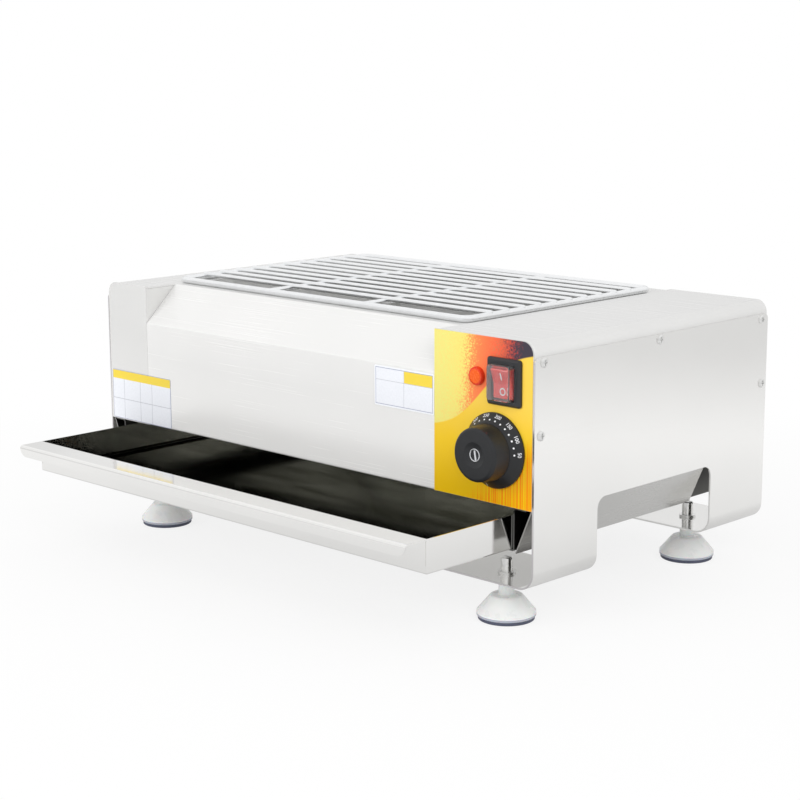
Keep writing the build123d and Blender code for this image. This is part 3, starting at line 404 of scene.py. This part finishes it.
def lamp_plastic():
    """Orange lens with a deeper red rim."""
    mat, tree, shader = new_material("lamp_plastic")
    lens_low, lens_high = corner("lamp_lens")
    coords = coordinates(tree)
    xyz = axes(tree, coords)
    across = math_node(tree, "SUBTRACT", xyz["X"], (lens_low.x + lens_high.x) / 2)
    rise = math_node(tree, "SUBTRACT", xyz["Z"], (lens_low.z + lens_high.z) / 2)
    radius = math_node(tree, "SQRT", math_node(tree, "ADD", math_node(tree, "MULTIPLY", across, across),
                                               math_node(tree, "MULTIPLY", rise, rise)))
    cells = tree.nodes.new("ShaderNodeTexVoronoi")
    cells.inputs["Scale"].default_value = 900.0
    tree.links.new(coords, cells.inputs["Vector"])
    mix = ramp(tree, cells.outputs["Distance"], [(0.1, (0.80, 0.085, 0.002)), (0.9, (0.86, 0.13, 0.004))])
    rim = spread(tree, radius, 0.0, 1.0, LENS_RIM_INNER, LENS_RIM_OUTER)
    colour = mix_colours(tree, rim, mix, (0.72, 0.045, 0.012))
    tree.links.new(colour, shader.inputs["Base Color"])
    tree.links.new(spread(tree, cells.outputs["Distance"], 0.16, 0.28), shader.inputs["Roughness"])
    shader.inputs["Specular IOR Level"].default_value = 0.35
    bump(tree, cells.outputs["Distance"], shader, 0.15, 0.0002)
    return mat


set_material(lamp_plastic(), "lamp_lens")


def across_and_up(tree, coords, x0, x1, z0, z1):
    """How far a point lies across and up a rectangle that faces the front, from 0 to 1."""
    xyz = axes(tree, coords)
    u = math_node(tree, "DIVIDE", math_node(tree, "SUBTRACT", xyz["X"], x0), x1 - x0)
    v = math_node(tree, "DIVIDE", math_node(tree, "SUBTRACT", xyz["Z"], z0), z1 - z0)
    return u, v


def panel_film():
    """Printed film: golden yellow, a little deeper downwards, with a speckled sweep of lemon, red and
    charcoal above a curved border and thin orange lines at its lower right."""
    mat, tree, shader = new_material("panel_film")
    coords = coordinates(tree)
    u, v = across_and_up(tree, coords, film_low.x, film_high.x, film_low.z, film_high.z)
    grain = noise(tree, coords, 900.0, 2.0, 0.7)
    cloud = noise(tree, coords, 70.0, 3.0, 0.6)
    drift = math_node(tree, "MULTIPLY", math_node(tree, "SUBTRACT", cloud, 0.5), 0.10)
    yellow = ramp(tree, math_node(tree, "ADD", v, drift),
                  [(0.05, (0.84, 0.52, 0.005)), (0.35, (0.88, 0.57, 0.015)), (0.62, (0.90, 0.60, 0.075))])

    # The sweep runs from lemon at the left to charcoal at the right, broken up by grain
    speckle = math_node(tree, "SUBTRACT", grain, 0.5)
    along = math_node(tree, "ADD", math_node(tree, "ADD", u, math_node(tree, "MULTIPLY", speckle, 0.50)),
                      math_node(tree, "MULTIPLY", math_node(tree, "SUBTRACT", 1.0, v), 0.12))
    sweep = ramp(tree, along, [(0.10, (0.80, 0.77, 0.21)), (0.34, (0.84, 0.74, 0.17)),
                               (0.42, (0.92, 0.20, 0.06)), (0.60, (0.88, 0.075, 0.035)),
                               (0.74, (0.55, 0.05, 0.04)), (0.86, (0.045, 0.038, 0.055))])
    tone = mix_colours(tree, spread(tree, grain, 0.0, 0.30), sweep,
                       (0.95, 0.55, 0.16))
    dark_end = spread(tree, along, 0.0, 1.0, 0.70, 0.82)
    tone = mix_colours(tree, dark_end, tone, sweep)
    wave = math_node(tree, "MULTIPLY", math_node(tree, "SINE", math_node(tree, "MULTIPLY", u, 6.28)), -0.05)
    slope = math_node(tree, "ADD", math_node(tree, "MULTIPLY", u, 0.50), 0.42)
    border = math_node(tree, "ADD", slope, wave)
    soft = spread(tree, math_node(tree, "SUBTRACT", v, border), 0.0, 1.0, -0.004, 0.004)

    # Thin upright lines that fade towards the left and the top
    lines_in = tree.nodes.new("ShaderNodeTexNoise")
    lines_in.noise_dimensions = "1D"
    lines_in.inputs["Scale"].default_value = 1.0
    lines_in.inputs["Detail"].default_value = 2.0
    tree.links.new(math_node(tree, "MULTIPLY", u, 60.0), lines_in.inputs["W"])
    lines = spread(tree, lines_in.outputs["Fac"], 0.0, 1.0, 0.46, 0.56)
    rise_in = math_node(tree, "SUBTRACT", math_node(tree, "MULTIPLY", u, 0.62), v)
    fade = spread(tree, math_node(tree, "ADD", rise_in, drift), 0.0, 1.0, 0.17, 0.30)
    stripes = math_node(tree, "MULTIPLY", lines, fade)
    base = mix_colours(tree, stripes, yellow, (0.88, 0.24, 0.004))
    colour = mix_colours(tree, soft, base, tone)
    tree.links.new(colour, shader.inputs["Base Color"])
    tree.links.new(spread(tree, grain, 0.28, 0.40), shader.inputs["Roughness"])
    shader.inputs["Specular IOR Level"].default_value = 0.25
    bump(tree, grain, shader, 0.05, 0.00004)
    return mat


set_material(panel_film(), "control_overlay")


# Mesh helpers
def mesh_piece(name, bm, mat, body, smooth=False):
    """A named mesh object that rides on a body."""
    mesh = bpy.data.meshes.new(name)
    bm.normal_update()
    bm.to_mesh(mesh)
    bm.free()
    obj = bpy.data.objects.new(name, mesh)
    bpy.context.collection.objects.link(obj)
    mesh.materials.append(mat)
    if smooth:
        for face in mesh.polygons:
            face.use_smooth = True
    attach(obj, body)


def rounded_outline(x0, x1, z0, z1, radius, steps=6):
    """Corner points of a rounded rectangle, in x and z."""
    points = []
    for cx, cz, start in ((x1 - radius, z1 - radius, 0), (x0 + radius, z1 - radius, 90),
                          (x0 + radius, z0 + radius, 180), (x1 - radius, z0 + radius, 270)):
        for step in range(steps + 1):
            angle = math.radians(start + 90 * step / steps)
            points.append((cx + radius * math.cos(angle), cz + radius * math.sin(angle)))
    return points


def plate_on_front(name, x0, x1, z0, z1, y_back, thickness, radius, mat, body):
    """A thin plate with rounded corners that lies on a plane facing the front."""
    bm = bmesh.new()
    outline = rounded_outline(x0, x1, z0, z1, radius)
    front = [bm.verts.new((x, y_back - thickness, z)) for x, z in outline]
    back = [bm.verts.new((x, y_back, z)) for x, z in outline]
    bm.faces.new(front)
    bm.faces.new(list(reversed(back)))
    count = len(outline)
    for index in range(count):
        after = (index + 1) % count
        bm.faces.new((front[after], front[index], back[index], back[after]))
    bmesh.ops.recalc_face_normals(bm, faces=bm.faces)
    mesh_piece(name, bm, mat, body)


STICKER_THICKNESS = 0.00025
STICKER_RADIUS = 0.0015
COLUMN_HALF_WIDTH = 0.0035
ROW_HALF_WIDTH = 0.007
OUTLINE_WIDTH = 0.0006


def sticker_paper(name, x0, x1, z0, z1, header, columns, rows, yellow_left, margin):
    """Blank sticker: white, with thin dividing lines and an outline inside a margin. Its header, a share of
    its height, is yellow from yellow_left on; columns and rows say where the lines run, from 0 to 1."""
    mat, tree, shader = new_material(name)
    coords = coordinates(tree)
    u, v = across_and_up(tree, coords, x0, x1, z0, z1)
    paper = noise(tree, coords, 600.0, 3.0)
    white = ramp(tree, paper, [(0.3, (0.80, 0.82, 0.87)), (0.7, (0.85, 0.87, 0.92))])
    in_header = math_node(tree, "GREATER_THAN", v, 1.0 - header)
    if yellow_left > 0:
        in_header = math_node(tree, "MULTIPLY", in_header, math_node(tree, "GREATER_THAN", u, yellow_left))
    colour = mix_colours(tree, in_header, white, (0.88, 0.66, 0.04))
    below = math_node(tree, "LESS_THAN", v, 1.0 - header) if yellow_left == 0 else None
    line = None
    for share, positions, half_width in ((u, columns, COLUMN_HALF_WIDTH), (v, rows, ROW_HALF_WIDTH)):
        for position in positions:
            gap = math_node(tree, "ABSOLUTE", math_node(tree, "SUBTRACT", share, position))
            mark = math_node(tree, "LESS_THAN", gap, half_width)
            line = mark if line is None else math_node(tree, "MAXIMUM", line, mark)
    if below is not None:
        line = math_node(tree, "MULTIPLY", line, below)
    colour = mix_colours(tree, line, colour, (0.52, 0.53, 0.58))
    for inset, frame_tone in ((margin + OUTLINE_WIDTH, (0.36, 0.38, 0.50)), (margin, (0.86, 0.88, 0.92))):
        if inset > 0:
            inside = within(tree, (x0 + inset, None, z0 + inset), (x1 - inset, None, z1 - inset))
            colour = mix_colours(tree, inside, frame_tone, colour)
    tree.links.new(colour, shader.inputs["Base Color"])
    tree.links.new(spread(tree, paper, 0.28, 0.40), shader.inputs["Roughness"])
    shader.inputs["Coat Weight"].default_value = 0.2
    shader.inputs["Coat Roughness"].default_value = 0.2
    bump(tree, paper, shader, 0.05, 0.00004)
    return mat


# Two blank stickers on the front: name, x from and to, z from and to, header, columns, rows, start of the
# yellow and margin
stickers = [
    ("sticker_left", -0.2660, -0.1775, 0.1037, 0.1512, 0.18, (0.20, 0.48, 0.68), (0.41,), 0.0, 0.0),
    ("sticker_right", 0.0947, 0.1633, 0.1655, 0.1995, 0.35, (0.5,), (0.65,), 0.5, 0.0013),
]
for name, x0, x1, z0, z1, header, columns, rows, yellow_left, margin in stickers:
    paper = sticker_paper(name + "_paper", x0, x1, z0, z1, header, columns, rows, yellow_left, margin)
    plate_on_front(name, x0, x1, z0, z1, front_y, STICKER_THICKNESS, STICKER_RADIUS, paper, "body")

# Dial marks: they lie on the cone and turn with it
print_white = plastic("print_white", (0.93, 0.94, 0.97), 0.45, 900.0, 0.03)
CONE_DEPTH = 0.0075
cone_outer = Vector((0.03075, skirt_low.y + CONE_DEPTH))
cone_inner = Vector((0.0233, skirt_low.y))
DIAL_DOTS = 11
DOT_STEP = 12.65
FIRST_DOT = 1.9
OFF_ANGLE = -100.0
FIRST_NUMBER = 50
NUMBER_STEP = 25
DOT_CIRCLE = 0.02575
NUMBER_CIRCLE = 0.02855
OFF_CIRCLE = 0.0280
DOT_RADIUS = 0.00075
NUMBER_SIZE = 0.0043
PRINT_THICKNESS = 0.00008
PRINT_LIFT = 0.00006


def on_cone(radius, angle):
    """A frame just off the numbered cone: x along the rim, y outwards up the slope, z off the surface."""
    share = (radius - cone_inner.x) / (cone_outer.x - cone_inner.x)
    depth = cone_inner.y + share * (cone_outer.y - cone_inner.y)
    turn = math.radians(angle)
    outward = Vector((math.cos(turn), 0, math.sin(turn)))
    slope = outward * (cone_outer.x - cone_inner.x) + Vector((0, cone_outer.y - cone_inner.y, 0))
    slope.normalize()
    along = Vector((math.sin(turn), 0, -math.cos(turn)))
    normal = along.cross(slope).normalized()
    if normal.y > 0:
        along, normal = -along, -normal
    origin = Vector((dial_x, depth, dial_z)) + outward * radius + normal * PRINT_LIFT
    matrix = Matrix((along, slope, normal)).transposed().to_4x4()
    matrix.translation = origin
    return matrix


def flat_text(word, size):
    """A mesh of thin letters, centred on its own place."""
    curve = bpy.data.curves.new("words", "FONT")
    curve.body = word
    curve.size = size
    curve.align_x = "CENTER"
    curve.align_y = "CENTER"
    curve.extrude = PRINT_THICKNESS / 2
    curve.resolution_u = 3
    helper = bpy.data.objects.new("words", curve)
    bpy.context.collection.objects.link(helper)
    bpy.context.view_layer.update()
    mesh = bpy.data.meshes.new_from_object(helper)
    bpy.data.objects.remove(helper)
    return mesh


def add_mesh(bm, mesh, matrix):
    start = len(bm.verts)
    bm.from_mesh(mesh)
    bm.verts.ensure_lookup_table()
    bmesh.ops.transform(bm, matrix=matrix, verts=bm.verts[start:])


numbers = bmesh.new()
dots = bmesh.new()
for index in range(DIAL_DOTS):
    angle = FIRST_DOT + index * DOT_STEP
    bmesh.ops.create_cone(dots, cap_ends=True, segments=20, radius1=DOT_RADIUS, radius2=DOT_RADIUS,
                          depth=PRINT_THICKNESS, matrix=on_cone(DOT_CIRCLE, angle))
    if index % 2 == 0:
        word = flat_text(str(FIRST_NUMBER + NUMBER_STEP * index), NUMBER_SIZE)
        add_mesh(numbers, word, on_cone(NUMBER_CIRCLE, angle))
mesh_piece("dial_numbers", numbers, print_white, "dial")
mesh_piece("dial_dots", dots, print_white, "dial")
off_mark = bmesh.new()
bmesh.ops.create_cube(off_mark, size=1.0, matrix=on_cone(OFF_CIRCLE, OFF_ANGLE)
                      @ Matrix.Diagonal((0.0006, 0.0042, PRINT_THICKNESS, 1)))
mesh_piece("dial_off_mark", off_mark, print_white, "dial")

# Ring and line in the knob's dish
bright_ring = metal("bright_ring", (0.86, 0.87, 0.90), 0.25)
RING_RADIUS = 0.0049
RING_WIRE = 0.00055
RING_DEPTH = 0.00135
LINE_DEPTH = 0.0019
LINE_DROP = 0.0003
LINE_SIZE = (0.0018, 0.0006, 0.0082, 1)
LINE_TURN = -10.0


def torus(bm, centre, radius, thick, segments=64, sides=10):
    """A ring around the y axis."""
    rings = []
    for step in range(segments):
        turn = 2 * math.pi * step / segments
        out = Vector((math.cos(turn), 0, math.sin(turn)))
        rings.append([bm.verts.new(centre + out * (radius + thick * math.cos(2 * math.pi * k / sides))
                                   + Vector((0, thick * math.sin(2 * math.pi * k / sides), 0)))
                      for k in range(sides)])
    for step in range(segments):
        here, there = rings[step], rings[(step + 1) % segments]
        for k in range(sides):
            after = (k + 1) % sides
            bm.faces.new((here[k], here[after], there[after], there[k]))


mark = bmesh.new()
torus(mark, Vector((dial_x, knob_front_y + RING_DEPTH, dial_z)), RING_RADIUS, RING_WIRE)
bmesh.ops.recalc_face_normals(mark, faces=mark.faces)
mesh_piece("knob_ring", mark, bright_ring, "dial", smooth=True)
line = bmesh.new()
line_place = Matrix.Translation((dial_x, knob_front_y + LINE_DEPTH, dial_z - LINE_DROP))
bmesh.ops.create_cube(line, size=1.0, matrix=line_place @ Matrix.Rotation(math.radians(LINE_TURN), 4, "Y")
                      @ Matrix.Diagonal(LINE_SIZE))
bmesh.ops.bevel(line, geom=line.edges[:], offset=0.00015, segments=2, affect="EDGES")
mesh_piece("knob_line", line, bright_ring, "dial")

# Rocker marks
rocker_x = sum(end.x for end in corner("switch_rocker")) / 2
switch_low, switch_high = corner("switch_housing")
PIVOT_DEPTH = 0.003
ROCKER_RISE = 0.0080
ROCKER_FACE_LIFT = 0.0019
ROCKER_HALF = 0.0125
MARK_HEIGHT = 0.0062
pivot = Vector((rocker_x, film_low.y + PIVOT_DEPTH, (switch_low.z + switch_high.z) / 2))
tilt = math.radians(10.0)


def on_rocker(up, slope_sign):
    """A frame just off one of the two faces of the tilted rocker."""
    slope = math.atan2(ROCKER_FACE_LIFT, ROCKER_HALF)
    y = -ROCKER_RISE + ROCKER_FACE_LIFT * (1 - abs(up) / ROCKER_HALF)
    normal = Vector((0, -math.cos(slope), -slope_sign * math.sin(slope)))
    upward = Vector((0, -slope_sign * math.sin(slope), math.cos(slope)))
    matrix = Matrix((Vector((1, 0, 0)), upward, normal)).transposed().to_4x4()
    matrix.translation = Vector((0, y, up)) + normal * PRINT_LIFT
    return Matrix.Translation(pivot) @ Matrix.Rotation(tilt, 4, "X") @ matrix


marks = bmesh.new()
bmesh.ops.create_cube(marks, size=1.0, matrix=on_rocker(MARK_HEIGHT, 1)
                      @ Matrix.Diagonal((0.0012, 0.0062, 0.00010, 1)))
circle = bmesh.new()
torus(circle, Vector((0, 0, 0)), 0.0026, 0.0005, 40, 6)
bmesh.ops.transform(circle, matrix=Matrix.Diagonal((1, 0.2, 1, 1)), verts=circle.verts)
bmesh.ops.transform(circle, matrix=on_rocker(-MARK_HEIGHT, -1) @ Matrix.Rotation(math.radians(90), 4, "X"),
                    verts=circle.verts)
bmesh.ops.recalc_face_normals(circle, faces=circle.faces)
mesh_piece("rocker_line", marks, print_white, "rocker")
mesh_piece("rocker_circle", circle, print_white, "rocker", smooth=True)

# Softened edges on the sheet metal
for name in ("left_end_cover", "right_end_cover", "middle_shell", "left_front_plate", "control_plate",
             "side_plate_left", "side_plate_right", "drip_tray", "rear_panel", "tray_skirt_left",
             "tray_skirt_right"):
    bevel = nodes[name].modifiers.new("edge", "BEVEL")
    bevel.width = 0.0003
    bevel.segments = 2
    bevel.limit_method = "ANGLE"
    bevel.angle_limit = math.radians(40)


# Floor, light and camera
FLOOR_SIZE = 40.0
FLOOR_REACH = 2.0


def light_path(tree):
    """Shares of rays seen directly or through glass, and of rays seen in mirrors."""
    path = tree.nodes.new("ShaderNodeLightPath")
    direct = math_node(tree, "MAXIMUM", path.outputs["Is Camera Ray"], path.outputs["Is Transmission Ray"])
    return direct, path.outputs["Is Glossy Ray"]


def grey_ramp(tree, factor, stops):
    """A ramp of greys between stops of a position and a value."""
    return ramp(tree, factor, [(position, (value, value, value)) for position, value in stops])


def floor_material():
    """Pale floor that fades to white away from the object, with the object's shadow kept. In mirrors it shows
    a painted pool of light, brightest a little way off as under a soft overhead light, and painted shade
    close to the object."""
    mat = bpy.data.materials.new("floor_paper")
    mat.use_nodes = True
    tree = mat.node_tree
    tree.nodes.clear()
    out = tree.nodes.new("ShaderNodeOutputMaterial")
    length = tree.nodes.new("ShaderNodeVectorMath")
    length.operation = "LENGTH"
    tree.links.new(coordinates(tree), length.inputs[0])
    reach = math_node(tree, "DIVIDE", length.outputs["Value"], FLOOR_REACH)
    diffuse = tree.nodes.new("ShaderNodeBsdfDiffuse")
    diffuse.inputs["Color"].default_value = (0.95, 0.95, 0.95, 1)
    direct, mirrored = light_path(tree)
    white = tree.nodes.new("ShaderNodeEmission")
    white.inputs["Strength"].default_value = 1.0
    # Painted light in mirrors: a pool of light a little way off and painted shade near the object.
    painted_pool = grey_ramp(tree, reach, [(0.16, 0.62), (0.24, 0.84), (0.42, 1.0), (0.72, 0.76)])
    tree.links.new(mix_colours(tree, mirrored, (1.0, 1.0, 1.0), painted_pool), white.inputs["Color"])
    seen = grey_ramp(tree, reach, [(0.12, 0.80), (0.40, 1.0)])
    in_mirror = grey_ramp(tree, reach, [(0.15, 0.72), (0.45, 1.0)])
    share = math_node(tree, "MAXIMUM", math_node(tree, "MULTIPLY", direct, seen),
                      math_node(tree, "MULTIPLY", mirrored, in_mirror))
    mix = tree.nodes.new("ShaderNodeMixShader")
    tree.links.new(share, mix.inputs["Fac"])
    tree.links.new(diffuse.outputs["BSDF"], mix.inputs[1])
    tree.links.new(white.outputs["Emission"], mix.inputs[2])
    tree.links.new(mix.outputs["Shader"], out.inputs["Surface"])
    return mat


floor_bm = bmesh.new()
bmesh.ops.create_grid(floor_bm, x_segments=1, y_segments=1, size=FLOOR_SIZE)
floor_mesh = bpy.data.meshes.new("floor")
floor_bm.to_mesh(floor_mesh)
floor_bm.free()
floor = bpy.data.objects.new("floor", floor_mesh)
floor_mesh.materials.append(floor_material())
bpy.context.collection.objects.link(floor)

# The world lights evenly. It is white to the camera, and a little darker and uneven in mirrors
world = bpy.data.worlds.new("studio")
bpy.context.scene.world = world
world.use_nodes = True
wt = world.node_tree
wt.nodes.clear()
world_out = wt.nodes.new("ShaderNodeOutputWorld")
sky_coords = coordinates(wt, "Generated")
banks = noise(wt, sky_coords, 5.0, 1.0)
height_tone = spread(wt, axes(wt, sky_coords)["Z"], 0.82, 1.0, 0.05, 0.60)
bank_tone = spread(wt, banks, -0.10, 0.08)
sky_tone = math_node(wt, "MINIMUM", math_node(wt, "ADD", height_tone, bank_tone), 1.0)
direct_share, mirror_share = light_path(wt)
WORLD_STRENGTH = 0.72
plain = wt.nodes.new("ShaderNodeBackground")
plain.inputs["Color"].default_value = (1, 1, 1, 1)
plain.inputs["Strength"].default_value = WORLD_STRENGTH
white = wt.nodes.new("ShaderNodeBackground")
white.inputs["Color"].default_value = (1, 1, 1, 1)
wt.links.new(math_node(wt, "MAXIMUM", direct_share, sky_tone), white.inputs["Strength"])
shader_mix = wt.nodes.new("ShaderNodeMixShader")
wt.links.new(math_node(wt, "MAXIMUM", direct_share, mirror_share), shader_mix.inputs["Fac"])
wt.links.new(plain.outputs["Background"], shader_mix.inputs[1])
wt.links.new(white.outputs["Background"], shader_mix.inputs[2])
wt.links.new(shader_mix.outputs["Shader"], world_out.inputs["Surface"])


LIGHT_TARGET = (0, 0, 0.1)


def area_light(name, location, size, power):
    """A soft rectangular lamp that looks at the object and isn't seen in mirrors."""
    light = bpy.data.lights.new(name, "AREA")
    light.shape = "RECTANGLE"
    light.size = size[0]
    light.size_y = size[1]
    light.energy = power
    obj = bpy.data.objects.new(name, light)
    obj.location = location
    direction = Vector(LIGHT_TARGET) - Vector(location)
    obj.rotation_euler = direction.to_track_quat("-Z", "Y").to_euler()
    bpy.context.collection.objects.link(obj)
    obj.visible_glossy = False


area_light("key", (2.0, -1.3, 1.5), (1.4, 1.2), 20)
area_light("fill", (-0.8, -2.4, 1.0), (1.8, 1.2), 24)

# The camera was fitted to the straight edges of the body: its place in metres, its turns in degrees
CAMERA_PLACE = (1.1917, -1.20015, 0.4775)
CAMERA_TURNS = (44.31, -11.27, -0.20)
camera_data = bpy.data.cameras.new("camera")
camera_data.sensor_width = 36.0
camera_data.lens = 84.59
camera = bpy.data.objects.new("camera", camera_data)
azimuth, pitch, roll = (math.radians(a) for a in CAMERA_TURNS)
forward = Vector((-math.sin(azimuth) * math.cos(pitch), math.cos(azimuth) * math.cos(pitch), math.sin(pitch)))
right = Vector((math.cos(azimuth), math.sin(azimuth), 0))
up = right.cross(forward)
right_rolled = math.cos(roll) * right + math.sin(roll) * up
up_rolled = math.cos(roll) * up - math.sin(roll) * right
rotation = Matrix((right_rolled, up_rolled, -forward)).transposed()
camera.matrix_world = Matrix.Translation(CAMERA_PLACE) @ rotation.to_4x4()
bpy.context.collection.objects.link(camera)
bpy.context.scene.camera = camera
bpy.context.scene.view_settings.view_transform = "Standard"
